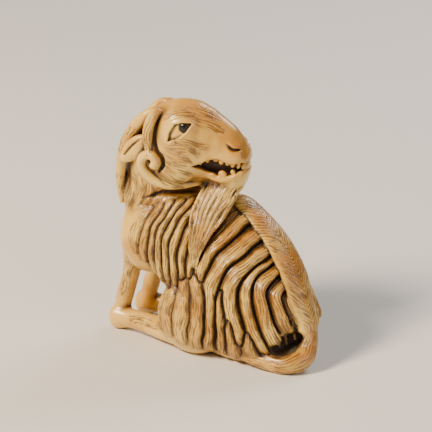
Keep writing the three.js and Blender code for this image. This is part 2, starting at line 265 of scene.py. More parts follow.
limbs = {
    "spread": 3.6,
    "rightBack": 1.0,
    "front": [(-13.2, 1.15, 19, 3.2, 3.4), (-15.1, 1.1, 15, 2.2, 2.2), (-16.1, 1, 11, 1.6, 1.6),
              (-17.3, 1, 7, 1.7, 1.6), (-17.9, 1, 4.5, 1.6, 1.5), (-18.2, 1, 2.2, 2, 2)],
    "hind": [(-2, 6.4, 2.8, 3, 2.6), (-7, 6, 2.6, 2.2, 2.1), (-11.5, 5.2, 2.5, 1.8, 1.9),
             (-15.4, 4.6, 2.4, 1.7, 1.8), (-18.4, 4.2, 2.2, 2.3, 2.4)],
    "tail": [(17.6, -0.5, 13.5, 1.3, 1.3), (18.9, -0.6, 9, 1.6, 1.6), (20.3, -1.6, 5, 1.8, 1.9),
             (20.7, -4.1, 2.4, 1.9, 2), (19, -6.5, 1.7, 1.8, 1.8), (15.2, -7.3, 1.7, 1.5, 1.5),
             (11.6, -7.4, 1.9, 1.2, 1.2), (8, -7.2, 2.2, 0.6, 0.7)],
}


def carveTrunk(block):
    block.add(bar(trunk["barrel"], keel=trunk["keel"]), trunk["blend"])
    block.add(ball(*trunk["rump"]), trunk["blend"])
    block.add(ball(*trunk["belly"]), trunk["blend"])
    block.add(bar(trunk["neck"], up=(1, 0, 0)), trunk["blend"])
    block.add(bar(trunk["nape"], up=(1, 0, 0)), trunk["blend"])
    block.add(bar(trunk["withers"]), 1.0)
    for side in flanks:
        for name in ("hip", "shoulder"):
            (x, y, z), radii = trunk[name]
            block.add(ball((x, side * y, z), radii), trunk["blend"])
        (x, y, z), radii = trunk["haunch"]
        block.add(ball((x, side * y, z), radii), 0.4)


def carveLimbs(block):
    for side in flanks:
        back = limbs["rightBack"] if side > 0 else 0
        front = [(x + back, side * limbs["spread"] * wide, z, *half) for x, wide, z, *half in limbs["front"]]
        block.add(bar(front, up=(-1, 0, 0)), 0.9)
        block.add(bar(onSide(limbs["hind"], side), tips=(0.3, 0.7)), 0.5)
    block.add(bar(limbs["tail"], up=(0.6, -1, 0.3)), 0.35)


# the head is shaped in its own frame: x to the nose, z to the crown
skull = {
    "shell": [(-6.3, 0, 0.5, 3.4, 4.6), (-4, 0, 0.7, 4.8, 6.6), (-1, 0, 0.75, 5.5, 7.9),
              (2, 0, 1, 5.4, 8), (4.5, 0, 1.1, 4.7, 7.3), (7, 0, 1, 4, 6.3), (9.7, 0, 0.1, 3.6, 5.8),
              (11.6, 0, -0.7, 3.2, 4.8), (12.6, 0, -1, 2.5, 3.7)],
    "cheek": ((0.4, 3.9, -1.6), (4.2, 1.8, 4.2), 0),
    "orbit": ((0.3, 3.7, 4.4), (3.0, 1.6, 3.0), 0),
    "wing": ((10.7, 2.2, 2.6), (1.5, 0.9, 1.0), 20),  # the swelling over a nostril
    "lip": ((10.3, 2.3, 1.3), (2.4, 1.0, 0.8), 0),
    "lowerLip": [(6.4, 2.7, -3.0, 0.3, 0.3), (8.6, 2.9, -3.4, 0.45, 0.45), (10.4, 2.7, -3.0, 0.5, 0.5),
                 (12.2, 1.8, -2.0, 0.55, 0.5), (12.8, 0.5, -1.5, 0.5, 0.5)],
    "nostril": [(9.6, 3.3, 3.5, 0.2, 0.5), (10.6, 3.0, 2.8, 0.3, 0.6), (11.8, 2.5, 2.9, 0.3, 0.6),
                (12.5, 2.0, 3.8, 0.25, 0.5)],
    "philtrum": [(13.4, 0.7, 2.4, 0.1, 0.25), (13.5, 0.9, 1.4, 0.15, 0.3), (13.2, 1.0, 0.7, 0.1, 0.25)],
}
mouth = {
    "upper": [(4.2, -1.5), (5.5, -0.9), (6.6, -0.1), (8.1, 0.6), (9.3, 0.4), (10.3, 0.1), (11.5, 0.2),
              (12.6, 0.5), (15.5, 0.6)],
    "lower": [(15.5, -0.9), (12.7, -1.1), (12.0, -1.6), (10.9, -2.3), (9.6, -2.7), (8.2, -2.7),
              (6.5, -2.4), (5.3, -1.9)],
    "tongue": [(3, 0, -1.6, 2.2, 2.2), (7.5, 0, -1.4, 1.7, 2.2), (10.4, 0, -1.2, 1.3, 1.6),
               (12.3, 0, -0.6, 0.8, 0.9)],
    # how far to each side, and how far forward, the inside of the mouth is painted in shade
    "darkWithin": (2.5, 11.9),
    "front": ((12.6, 0.0, -0.4), (0.75, 1.7, 1.2), 0),
    # each tooth: its place and its half sizes
    "teeth": [((5.3, 3.4, -1.05), (0.35, 0.4, 0.35)), ((6.5, 3.2, -0.25), (0.35, 0.4, 0.45)),
              ((7.9, 3.05, 0.3), (0.55, 0.4, 0.5)), ((9.0, 2.95, 0.2), (0.5, 0.45, 0.7)),
              ((10.1, 2.8, 0.05), (0.4, 0.4, 0.5)), ((11.0, 2.55, 0.0), (0.45, 0.4, 0.65)),
              ((11.9, 2.1, -0.1), (0.4, 0.4, 0.7)), ((9.5, 2.85, -2.2), (0.8, 0.5, 0.7)),
              ((11.2, 2.3, -1.5), (0.5, 0.45, 0.5)), ((7.8, 3.0, -2.7), (0.6, 0.4, 0.35))],
}
eye = {
    "opening": [(-0.6, 2.2), (-0.55, 3.8), (0.15, 5.6), (1.5, 6.15), (3.1, 6.2), (2.35, 4.6), (1.2, 3.3)],
    "deep": 0.45,
    "rim": 0.12,
    "pupil": ((1.75, 4.9, 5.25), (0.8, 0.45, 0.85)),
    "iris": ((2.3, 5.5), 1.0),
}
trimmings = {
    "nearHorn": [(-2.8, -2.6, 6.4, 0.5, 0.5), (-5.1, -3.1, 5.7, 1.1, 0.95), (-7.5, -3.3, 2.8, 1.2, 1.1),
                 (-9.1, -2.9, -0.8, 1.1, 1.0), (-9.9, -2.0, -4.3, 1.0, 0.95),
                 (-10.0, -1.2, -8.1, 0.85, 0.85), (-9.8, -0.7, -11.2, 0.65, 0.6),
                 (-9.4, -0.5, -13.5, 0.3, 0.3)],
    "farHorn": [(-2.8, 2.6, 6.4, 0.5, 0.5), (-5.2, 3.2, 5.7, 1.1, 0.95), (-7.5, 4.2, 2.8, 1.2, 1.1),
                (-8.9, 5.3, -0.4, 1.1, 1.0), (-9.3, 6.1, -3.4, 0.95, 0.9), (-9.0, 6.4, -6.8, 0.8, 0.8),
                (-8.5, 6.5, -9.6, 0.6, 0.6), (-8.0, 6.5, -11.8, 0.3, 0.3)],
    "ear": [(-4.8, 4.6, 1.7, 0.8, 0.7), (-5.9, 4.9, 0.5, 1.5, 0.8), (-7.0, 4.9, -1.1, 1.75, 0.85),
            (-8.0, 4.9, -2.6, 1.3, 0.8), (-8.6, 4.8, -3.5, 0.7, 0.6)],
    "fold": [(-5.5, 5.7, 1.6, 0.2, 0.4), (-7.0, 5.85, -0.1, 0.35, 0.6), (-8.3, 5.7, -2.2, 0.25, 0.4)],
    "forelock": [(-3.4, 3.2, 6.6, 0.6, 0.4), (-4.2, 4.1, 5.9, 0.95, 0.75), (-4.6, 4.8, 4.1, 1.0, 0.85),
                 (-4.5, 5.1, 2, 0.95, 0.85), (-4.0, 5.2, -0.4, 0.7, 0.6)],
    "parting": [(-2.3, 2.9, 7.7, 0.2, 0.4), (-3.1, 4.5, 5.8, 0.3, 0.7), (-3.3, 5.2, 3.7, 0.4, 0.8),
                (-3.1, 5.4, 1.5, 0.45, 0.8), (-2.3, 5.5, 0.0, 0.45, 0.8), (-1.1, 5.6, -0.9, 0.45, 0.8),
                (-0.8, 5.6, -2.3, 0.4, 0.7), (-1.6, 5.4, -3.9, 0.3, 0.6)],
    "curl": [(6.4, 0.8, -5.0, 0.3, 0.3), (4.4, 1.9, -5.6, 0.55, 0.5), (2.2, 3.2, -6.0, 0.8, 0.7),
             (-0.6, 4.1, -6.3, 0.95, 0.85), (-3.0, 4.6, -5.6, 0.95, 0.9), (-4.6, 5.0, -4.1, 0.9, 0.95),
             (-5.0, 5.2, -2.6, 0.9, 0.95), (-4.3, 5.4, -1.3, 0.9, 0.95), (-3.0, 5.5, -1.1, 0.85, 0.95),
             (-2.2, 5.6, -2.0, 0.85, 0.95), (-2.5, 5.6, -3.0, 0.85, 0.9)],
}


def mouthOutline():
    return np.array(mouth["upper"] + mouth["lower"])


def within(outline, x, z):
    # which of the points x, z lie inside a closed outline
    odd = np.zeros(len(x), bool)
    for (x0, z0), (x1, z1) in zip(outline, np.roll(outline, -1, axis=0)):
        crosses = (z0 > z) != (z1 > z)
        odd ^= crosses & (x < x0 + (x1 - x0) * (z - z0) / (z1 - z0 + 1e-12))
    return odd


def carveHead(block):
    block.add(onHead(bar(skull["shell"], facing=(1, 0, 0), tips=(0.3, 0.25))), 1.0)
    for side in flanks:
        for name, blend in (("cheek", 1.4), ("orbit", 1.4), ("wing", 0.9), ("lip", 0.8)):
            (x, y, z), radii, turn = skull[name]
            block.add(onHead(ball((x, side * y, z), radii, turn=turn)), blend)
        across = sorted((side * 2.6, side * 8))
        block.engrave(onHead(prism(eye["opening"], *across)), eye["deep"], eye["rim"])
    block.cut(onHead(prism(mouthOutline(), -7, 7)), 0.25)
    block.add(onHead(bar(mouth["tongue"])), 0.3)
    block.add(onHead(ball(*mouth["front"])), 0.2)
    for side in flanks:
        for name in ("nostril", "philtrum"):
            block.cut(onHead(bar(onSide(skull[name], side), up=(0, 1, 0))), 0.25)
        block.add(onHead(bar(onSide(skull["lowerLip"], side), up=(0, 1, 0))), 0.4)
        for (x, y, z), radii in mouth["teeth"]:
            block.add(onHead(ball((x, side * y, z), radii)), 0.12)
        block.cut(onHead(bar(onSide(trimmings["parting"], side), up=(0, 1, 0))), 0.3)
        horn = trimmings["nearHorn" if side < 0 else "farHorn"]
        block.add(onHead(bar(horn, up=(0, 1, 0))), 0.25)
        for name, blend in (("ear", 0.2), ("forelock", 0.2), ("curl", 0.3)):
            block.add(onHead(bar(onSide(trimmings[name], side), up=(0, 1, 0))), blend)
        block.cut(onHead(bar(onSide(trimmings["fold"], side), up=(0, 1, 0))), 0.15)
        (x, y, z), radii = eye["pupil"]
        block.cut(onHead(ball((x, side * y, z), [r + 0.04 for r in radii])), 0.03)


# locks tile the flanks, and combed hair covers smoother skin
coat = {
    "relief": 1.1,  # how far the back of a lock stands over its edges
    "floor": 0.45,  # how far those edges lie below the trunk
    "round": 0.6, "shoulder": 1.3,  # how far in from its edge a lock rounds off: the steep part, and in all
    "tilt": 0.4,  # the share of the relief by which a lock leans up at one edge and down at the other
    "notch": (0.25, 0.2),  # how much deeper the parting between two locks is cut, and its half width
    "lines": 0.05, "spacing": 0.5,
    "split": 0.07, "splitSpacing": 1.35,
    "wander": (0.12, 0.9),  # how far a hair line strays sideways, and how fast it turns along the lock
    "slant": 0.62,  # the sine of the angle of the herringbone strokes
    "stray": 0.1,
    "hem": (1.0, 6.0, 0.45),  # heights between which the relief grows, and its share at the lower one
    "farFlank": 0.85,  # the right flank's share of the relief
    "reach": 4.5,  # how far from its line a lock can reach
    "furEdge": (1.7, 2.4), "hairEdge": (0.9, 1.25),  # half widths from the line between which hair ends
    "steps": 44, "hairSteps": 24,
}
# each lock: its line as x, z seen from the side, its half width and the share of the relief that it has
flankLocks = [
    ([(8.0, 27.4), (6.8, 25.6), (5.0, 22.8), (3.6, 20.6), (3.0, 18.2), (3.0, 15.8)], 1.45, 1.1),
    ([(10.8, 24.6), (9.2, 22.6), (7.6, 20.5), (5.9, 18), (5.1, 15), (5.0, 11.6), (4.9, 8),
      (4.2, 3)], 1.5, 1.1),
    ([(13.2, 21.8), (11.3, 19.4), (9.6, 17.7), (8.5, 15.4), (8.6, 12.6), (9.6, 9.6),
      (10.8, 5.6)], 1.6, 1.15),
    ([(14.2, 20.4), (11.9, 17.4), (11.2, 14.6), (12, 11.3), (13.4, 8), (14.9, 4.2)], 1.25, 1.0),
    ([(15.4, 18.6), (13.4, 16.9), (13.1, 14.6), (13.9, 12), (15.2, 9), (16.8, 5)], 1.25, 1.1),
    ([(16.6, 16.6), (15.4, 13.8), (16.6, 10.8), (18.4, 7.6)], 1.1, 1.0),
    ([(17.0, 14.6), (17.3, 12.2), (18.4, 9.8), (19.6, 7.4)], 1.1, 0.9),
    ([(7.2, 14), (7.0, 10.6), (6.9, 7), (6.4, 2)], 1.1, 0.95),
    ([(8.9, 8.6), (9, 6), (8.7, 2)], 1.1, 0.85),
    ([(12.4, 6.6), (12.7, 4.4), (12.9, 2)], 1.0, 0.8),
]
haunchLocks = [
    ([(-5.3, 10.2), (-6.7, 7.5), (-6.4, 5)], 0.9, 0.22),
    ([(-3.5, 12.6), (-4.3, 9.4), (-4.3, 6.6), (-3.8, 4.4)], 1.3, 0.35),
    ([(-0.9, 14.2), (-0.5, 10.8), (-0.4, 8), (-0.9, 3.6)], 1.3, 0.42),
    ([(2.1, 15.2), (2.8, 12.2), (3.2, 9), (2.4, 3.4)], 1.5, 0.55),
]
chestLocks = [
    ([(-9.8, 25.4), (-11.5, 21.6), (-11.8, 18)], 0.8, 0.25),
    ([(-8.0, 26.2), (-9.8, 22), (-10.2, 16.6)], 1.0, 0.45),
    ([(-6.0, 27), (-8.1, 22), (-8.5, 14.8)], 0.95, 0.7),
    ([(-4.2, 27.6), (-6.6, 22.4), (-6.6, 13.6)], 0.95, 0.8),
    ([(-2.4, 28), (-4.9, 22.5), (-4.6, 12.8)], 0.95, 0.8),
    ([(-0.6, 28.2), (-3.1, 22.5), (-2.8, 13.6)], 1.1, 0.85),
    ([(1.2, 28), (-1.2, 22), (-1.3, 15)], 0.95, 0.85),
    ([(3.2, 27), (1.0, 20.6), (0.6, 16.2)], 0.95, 0.9),
]
ridge = {
    "line": [(1.2, 0.8, 27.2, 0.9, 0.5), (4.8, 0.8, 27.4, 2.0, 0.9), (9, 0.6, 24.7, 2.5, 1.1),
             (13.2, 0.3, 20.7, 2.9, 1.15), (16.3, -0.2, 16.3, 3.0, 1.15), (18.2, -0.8, 12, 2.8, 1.2),
             (19.8, -1.3, 8, 2.2, 1.4), (20.5, -2.4, 4.8, 1.9, 1.7)],
    "crest": [(2, 0.8, 28.4), (5.2, 0.8, 28.2), (9.6, 0.6, 25.5), (13.9, 0.3, 21.5), (17.2, -0.2, 16.9),
              (19.3, -0.8, 12.3), (21.2, -1.5, 8)],
    "reach": 2.7,
    "hollow": ((18.6, -6.4, 5.2), (2.9, 4.2, 1.7), -35),
    "crease": [(-11.2, -6.4, 27.2, 0.1, 0.1), (-7.9, -4.7, 28.6, 0.45, 0.4),
               (-3.7, -3.0, 29.2, 0.7, 0.55), (0, -2.2, 29.4, 0.7, 0.5)],
    "tail": [(21.4, -2.4, 5.6), (21.8, -5.2, 3.4), (19.9, -8.2, 2.2), (16.2, -9.2, 1.9), (12.6, -8.8, 1.9)],
    # loose strands that hang in front of the hollow
    "loose": [[(16.2, -6.5, 9.2), (16.8, -6.5, 7.2), (17.1, -6.0, 4.4)],
              [(17.2, -5.4, 9.2), (17.7, -5.5, 7.2), (18.0, -5.1, 4.8)],
              [(18.2, -4.0, 9.0), (18.7, -4.1, 7.4), (19.0, -3.8, 5.4)]],
    "looseHalf": 0.42, "looseTip": 0.5, "looseBlend": 0.1,
}
beard = {
    "mass": [(2.9, -1.4, 31.5, 3.5, 2.2), (2.4, -4.2, 28.3, 2.9, 1.45), (2.2, -6.2, 26.3, 2.6, 1.1),
             (2.1, -7.9, 24, 2.1, 0.85), (1.9, -9.1, 21.6, 1.4, 0.6), (1.8, -9.9, 19.2, 0.8, 0.4)],
    "edges": ([(0.0, -2.9, 31), (-0.6, -4.6, 28.6), (-0.7, -6.5, 26.4), (0.0, -8.6, 23.6),
               (0.7, -9.9, 20.8), (1.3, -10.2, 17.6)],
              [(5.9, -1.9, 31), (5.4, -3.9, 28.6), (4.9, -6.1, 26.4), (3.9, -8.6, 23.6),
               (3.0, -9.9, 20.8), (2.2, -10.2, 17.4)]),
    "strands": 7, "half": 0.6, "tip": 0.3, "blend": 0.06,
}
# hair combed over smoother skin: lines of x, y, z, a half width and a share of the relief
neckHair = [
    ([(-17.2, -1.2, 32), (-18.2, -1.2, 27), (-18.6, -1.2, 22)], 1.1, 0.12),
    ([(-17.0, -3.0, 31), (-17.8, -3.2, 27), (-18.0, -3.4, 22)], 1.1, 0.12),
    ([(-16.2, -4.4, 33), (-15.6, -5.0, 29.5), (-16.4, -5.0, 26)], 0.9, 0.14),
    ([(-14.2, -5.7, 32.7), (-13.9, -5.8, 30.5), (-14.2, -5.8, 27.9), (-14.9, -5.4, 25.5)], 0.9, 0.2),
    ([(-12.4, -6.2, 30.9), (-12.0, -6.2, 28.4), (-12.5, -6.4, 26.5), (-13.6, -6.2, 24.8)], 0.9, 0.2),
    ([(-10.4, -5.6, 30), (-10.3, -6, 27.9), (-11.3, -6.3, 26.1)], 0.8, 0.2),
    ([(-8.2, -4.7, 30), (-8.9, -5.6, 27.6), (-10.2, -6.2, 25.9)], 0.8, 0.2),
]
legHair = [
    ([(-5.5, -8.4, 3.8), (-10, -7.4, 3.7), (-14.6, -6.3, 3.3)], 0.8, 0.03),
    ([(-14.2, -6.2, 16), (-15.8, -5.6, 12), (-17.2, -5.2, 7.5)], 1.0, 0.03),
]
headHair = [
    ([(-0.6, 5.7, -0.2), (1.6, 5.4, -0.5), (4.0, 4.7, -1.0)], 0.9, 0.03),
    ([(-0.2, 5.7, 1.2), (2.0, 5.3, 1.2), (5.0, 4.6, 0.8)], 0.9, 0.03),
    ([(0.6, 5.4, 2.6), (3.4, 4.9, 2.8), (6.4, 4.1, 2.4)], 0.8, 0.03),
    ([(-0.6, 5.6, -1.8), (1.6, 5.2, -2.4), (4.4, 4.4, -3.4)], 0.9, 0.04),
    ([(-1.4, 5.4, -3.4), (0.6, 4.9, -4.0), (3.6, 3.9, -5.0)], 0.8, 0.1),
    ([(-2.0, 5.0, -4.6), (0.0, 4.2, -5.3), (2.6, 3.4, -6.2)], 0.7, 0.1),
    ([(4.6, 3.6, -4.2), (6.8, 3.0, -4.4), (8.6, 2.6, -4.6)], 0.8, 0.05),
    ([(3.2, 3.6, 7.0), (5.4, 3.0, 6.4), (8.0, 2.2, 5.6)], 0.9, 0.02),
    ([(1.0, 2.4, 8.2), (4.0, 1.6, 7.9), (7.0, 1.0, 7.0)], 0.9, 0.02),
    ([(-2.2, 4.8, 6.4), (0.0, 4.2, 7.4), (2.6, 3.2, 7.8)], 0.9, 0.03),
]


def spread(edges, count):
    # so many lines spread evenly from the first to the last
    first, last = (np.array(edge, float) for edge in edges)
    return [first + (last - first) * i / (count - 1) for i in range(count)]


def settled(spots, normals, half, relief, herring=False):
    spots, normals = np.array(spots), np.array(normals)
    for _ in range(5):  # evens the normals out along the lock
        normals[1:-1] = (normals[:-2] + normals[1:-1] + normals[2:]) / 3
    normals /= np.linalg.norm(normals, axis=1)[:, None]
    ahead = np.gradient(spots, axis=0)
    ahead /= np.linalg.norm(ahead, axis=1)[:, None] + 1e-9
    run = np.concatenate([[0], np.cumsum(np.linalg.norm(np.diff(spots, axis=0), axis=1))])
    share = run / run[-1]
    full = np.clip(0.6 + 2.2 * np.minimum(share, 1 - share), 0, 1)
    return {"spots": spots, "side": np.cross(normals, ahead), "run": run, "half": half * full,
            "relief": relief, "herring": herring}


def laidFrom(skinTree, line, side, half, relief):
    # a line of x, z points laid on the skin by rays cast from one side
    spots, normals = [], []
    flat = np.array([(x, 0, z) for x, z in line], float)
    for k in range(coat["steps"] + 1):
        x, _, z = curvePoint(flat, k / coat["steps"])
        spot, normal, _, _ = skinTree.ray_cast(Vector((x, side * 30, z)), Vector((0, -side, 0)))
        if spot is not None:
            spots.append(spot)
            normals.append(normal)
    return settled(spots, normals, half, relief)


def laidNear(skinTree, line, half, relief, herring=False):
    # a line of x, y, z points drawn onto the nearest skin
    steps = coat["hairSteps"]
    found = [skinTree.find_nearest(Vector(curvePoint(line, k / steps))) for k in range(steps + 1)]
    return settled([f[0] for f in found], [f[1] for f in found], half, relief, herring)


pointsAtOnce = 20000  # keeps the arrays of one step small


def combed(points, locks, reach):
    # for each point: the lock that it belongs to, its place across and along it, and the distances,
    # in half widths, to the lines of the two nearest locks
    count = len(points)
    nearest, second = np.full(count, 99.0), np.full(count, 99.0)
    across, along, half = np.zeros(count), np.zeros(count), np.ones(count)
    owner = np.full(count, -1)
    for number, lock in enumerate(locks):
        spots = lock["spots"]
        low, high = spots.min(0) - reach, spots.max(0) + reach
        inside = np.nonzero(((points > low) & (points < high)).all(1))[0]
        for part in np.array_split(inside, max(1, len(inside) // pointsAtOnce)):
            if not len(part):
                continue
            p = points[part]
            steps = np.diff(spots, axis=0)
            lengths = (steps ** 2).sum(1) + 1e-9
            offset = p[:, None] - spots[None, :-1]
            share = np.clip((offset * steps).sum(2) / lengths, 0, 1)
            square = ((offset - share[..., None] * steps) ** 2).sum(2)
            best = square.argmin(1)
            rows = np.arange(len(part))
            t = share[rows, best]
            wide = lock["half"][best] * (1 - t) + lock["half"][best + 1] * t
            gap = np.sqrt(square[rows, best]) / wide
            closer = gap < nearest[part]
            taken, left = part[closer], part[~closer]
            second[left] = np.minimum(second[left], gap[~closer])
            second[taken] = nearest[taken]
            nearest[taken] = gap[closer]
            owner[taken] = number
            half[taken] = wide[closer]
            foot = spots[best] + t[:, None] * steps[best]
            across[taken] = ((p - foot) * lock["side"][best]).sum(1)[closer]
            along[taken] = (lock["run"][best] + t * np.sqrt(lengths[best]))[closer]
    return {"nearest": nearest, "second": second, "owner": owner,
            "across": across, "along": along, "half": half}


def smooth(low, high, value):
    t = np.clip((value - low) / (high - low), 0, 1)
    return t * t * (3 - 2 * t)


def coatLocks(skinTree):
    locks = []
    for side in flanks:
        for line, half, relief in flankLocks + haunchLocks + chestLocks:
            share = 1 if side < 0 else coat["farFlank"]
            locks.append(laidFrom(skinTree, line, side, half, share * relief))
    return locks


def combedHair(skinTree):
    locks = [laidNear(skinTree, ridge["crest"], ridge["reach"], 0.12, herring=True),
             laidNear(skinTree, ridge["tail"], 2.4, 0.06)]
    for line in spread(beard["edges"], beard["strands"]):
        locks.append(laidNear(skinTree, line, 0.6, 0.35))
    for side in flanks:
        for line, half, relief in neckHair + legHair:
            locks.append(laidNear(skinTree, onSide(line, -side), half, relief))
        horn = trimmings["nearHorn" if side < 0 else "farHorn"]
        grown = [(onSide(line, side), half, relief) for line, half, relief in headHair]
        grown += [([spot[:3] for spot in horn[1:7]], 1.0, 0.03),
                  ([(x, side * 1.2 * y, z) for x, y, z, *_ in trimmings["forelock"][1:]], 0.85, 0.03)]
        for line, half, relief in grown:
            line = np.array(line, float) @ headBasis() + carving["head"]["place"]
            locks.append(laidNear(skinTree, line, half, relief))
    return locks


def strayed(points):
    # moves points a little to and fro, so that no parting runs perfectly true
    x, y, z = points.T
    drift = np.stack([np.sin(1.1 * z + 0.7 * x + 1), np.sin(0.9 * x + 1.3 * z),
                      np.sin(1.2 * y + 0.8 * x + 2)], 1)
    return points + coat["stray"] * drift


def combHeights(points, locks, grown, edge):
    # how far each point of the skin is raised, and what the material needs to know about its hair
    comb = combed(strayed(points), locks, coat["reach"])
    belongs = comb["owner"]
    low, high, least = coat["hem"]
    relief = np.array([lock["relief"] for lock in locks] + [0])[belongs]
    relief = relief * (least + (1 - least) * smooth(low, high, points[:, 2]))
    herring = np.array([lock["herring"] for lock in locks] + [False])[belongs]
    # herringbone strokes run slanting to both sides of their line
    slant, rest = coat["slant"], (1 - coat["slant"] ** 2) ** 0.5
    off, run = np.abs(comb["across"]), comb["along"]
    across = np.where(herring, slant * run + rest * off, comb["across"])
    along = np.where(herring, rest * run - slant * off, run)
    # each lock is rounded, leans a little and ends in a parting
    margin = np.clip((comb["second"] - comb["nearest"]) * 0.5, 0, 1.5) * comb["half"]
    grown = grown * (belongs >= 0) * (1 - smooth(edge[0], edge[1], comb["nearest"]))
    back = 0.5 * (1 - np.exp(-margin / coat["round"]))
    back = back + 0.5 * (1 - (1 - np.minimum(margin / coat["shoulder"], 1)) ** 2)
    tilt = coat["tilt"] * np.clip(comb["across"] / comb["half"], -1, 1) * smooth(0.1, 0.6, margin)
    height = relief * coat["relief"] * (back + tilt * (~herring))
    notch, notchWide = coat["notch"]
    height -= coat["floor"] * relief + notch * relief * np.exp(-(margin / notchWide) ** 2)
    # fine hair lines and broader splits, out of step from lock to lock
    clear = smooth(0.1, 0.35, margin)
    sway, turns = coat["wander"]
    wander = sway * np.sin(turns * along + 2.1 * belongs)
    fine = np.cos(2 * math.pi * (across + wander) / coat["spacing"] + 1.7 * belongs)
    split = np.cos(2 * math.pi * (across + 1.6 * wander) / coat["splitSpacing"] + 0.9 * belongs)
    lines = coat["lines"] * (0.35 + 0.65 * np.minimum(relief, 1)) * fine
    height += (lines + coat["split"] * relief * split) * clear
    parting = np.minimum(relief * 1.6, 1) * np.exp(-(margin / 0.24) ** 2)
    shifted = across + wander + 1.7 * belongs * coat["spacing"] / (2 * math.pi)
    return {"height": height * grown, "grown": grown, "across": shifted, "along": along,
            "parting": parting * grown}


# two cord holes in the base: radii, the place of the larger, the step to the other and their depth
base = {"largeHole": 2.7, "smallHole": 1.9, "start": 1.2, "apart": 9.0, "deep": 6.0}


def carveBase(block):
    size = 60  # more than the whole carving
    block.cut(prism([(-size, -size), (size, -size), (size, 0), (-size, 0)], -size, size), 0.01)
    for radius, x in ((base["largeHole"], 0), (base["smallHole"], base["apart"])):
        x += base["start"]
        hole = [(x, 0, -3, radius, radius), (x, 0, base["deep"], radius, radius)]
        block.cut(bar(hole, up=(1, 0, 0), tips=(0.1, 0.1)), 0.3)
    small, high = base["smallHole"], base["deep"] - base["smallHole"]
    ends = (base["start"], base["start"] + base["apart"] + small)
    block.cut(bar([(x, 0, high, small, small) for x in ends]), 0.3)


def vertexNormals(points, quads):
    normals = np.zeros_like(points)
    a, b, c, d = (points[quads[:, corner]] for corner in range(4))
    cross = np.cross(c - a, d - b)
    for corner in range(4):
        np.add.at(normals, quads[:, corner], cross)
    return normals / (np.linalg.norm(normals, axis=1)[:, None] + 1e-12)


def placed(name, data):
    thing = bpy.data.objects.new(name, data)
    bpy.context.scene.collection.objects.link(thing)
    return thing


def meshOf(name, points, faces):
    mesh = bpy.data.meshes.new(name)
    mesh.from_pydata((np.asarray(points) * mm).tolist(), [], np.asarray(faces).tolist())
    mesh.update()
    piece = placed(name, mesh)
    for polygon in mesh.polygons:
        polygon.use_smooth = True
    return piece


def lightened(piece, share):
    # applies a Decimate modifier, so that the piece carries plain triangles only
    lighter = piece.modifiers.new("lighter", "DECIMATE")
    lighter.ratio = share
    graph = bpy.context.evaluated_depsgraph_get()
    mesh = bpy.data.meshes.new_from_object(piece.evaluated_get(graph))
    piece.modifiers.remove(lighter)
    piece.data = mesh


def blurred(values, radius):
    # two box blurs along each axis
    wide = max(1, int(round(radius)))
    for axis in range(3):
        for _ in range(2):
            total = np.cumsum(values, axis=axis, dtype=np.float64)
            padded = np.concatenate([np.zeros_like(np.take(total, [0], axis)), total], axis=axis)
            n = values.shape[axis]
            high = np.clip(np.arange(n) + wide + 1, 0, n)
            low = np.clip(np.arange(n) - wide, 0, n)
            window = np.take(padded, high, axis) - np.take(padded, low, axis)
            values = (window / (2 * wide + 1)).astype(np.float32)
    return values


def stained(points, quads):
    # how deep in a hollow each point lies: the share of solid around it, over two distances in mm
    fresh = Block()
    triangles = np.vstack([quads[:, [0, 1, 2]], quads[:, [0, 2, 3]]])
    values, part = fresh.measured((points, triangles))
    solid = np.zeros(fresh.size, np.float32)
    solid[part] = np.clip(0.5 - values / fresh.voxel, 0, 1)
    return [fresh.at(points, blurred(solid, radius / fresh.voxel)) - 0.5 for radius in (0.4, 1.1)]


def setAttribute(mesh, name, values):
    attribute = mesh.attributes.new(name, "FLOAT", "POINT")
    attribute.data.foreach_set("value", np.asarray(values, np.float32))


def linear(hexColour):
    parts = [int(hexColour[i:i + 2], 16) / 255 for i in (1, 3, 5)]
    return (*[p / 12.92 if p <= 0.04045 else ((p + 0.055) / 1.055) ** 2.4 for p in parts], 1.0)


def addNode(tree, kind, settings=None, inputs=None, output=0):
    node = tree.nodes.new(kind)
    for name, value in (settings or {}).items():
        setattr(node, name, value)
    for name, value in (inputs or {}).items():
        if isinstance(value, bpy.types.NodeSocket):
            tree.links.new(value, node.inputs[name])
        else:
            node.inputs[name].default_value = value
    return node.outputs[output] if node.outputs else node


def freshMaterial(name):
    material = bpy.data.materials.new(name)
    material.use_nodes = True
    material.node_tree.nodes.clear()
    return material, material.node_tree


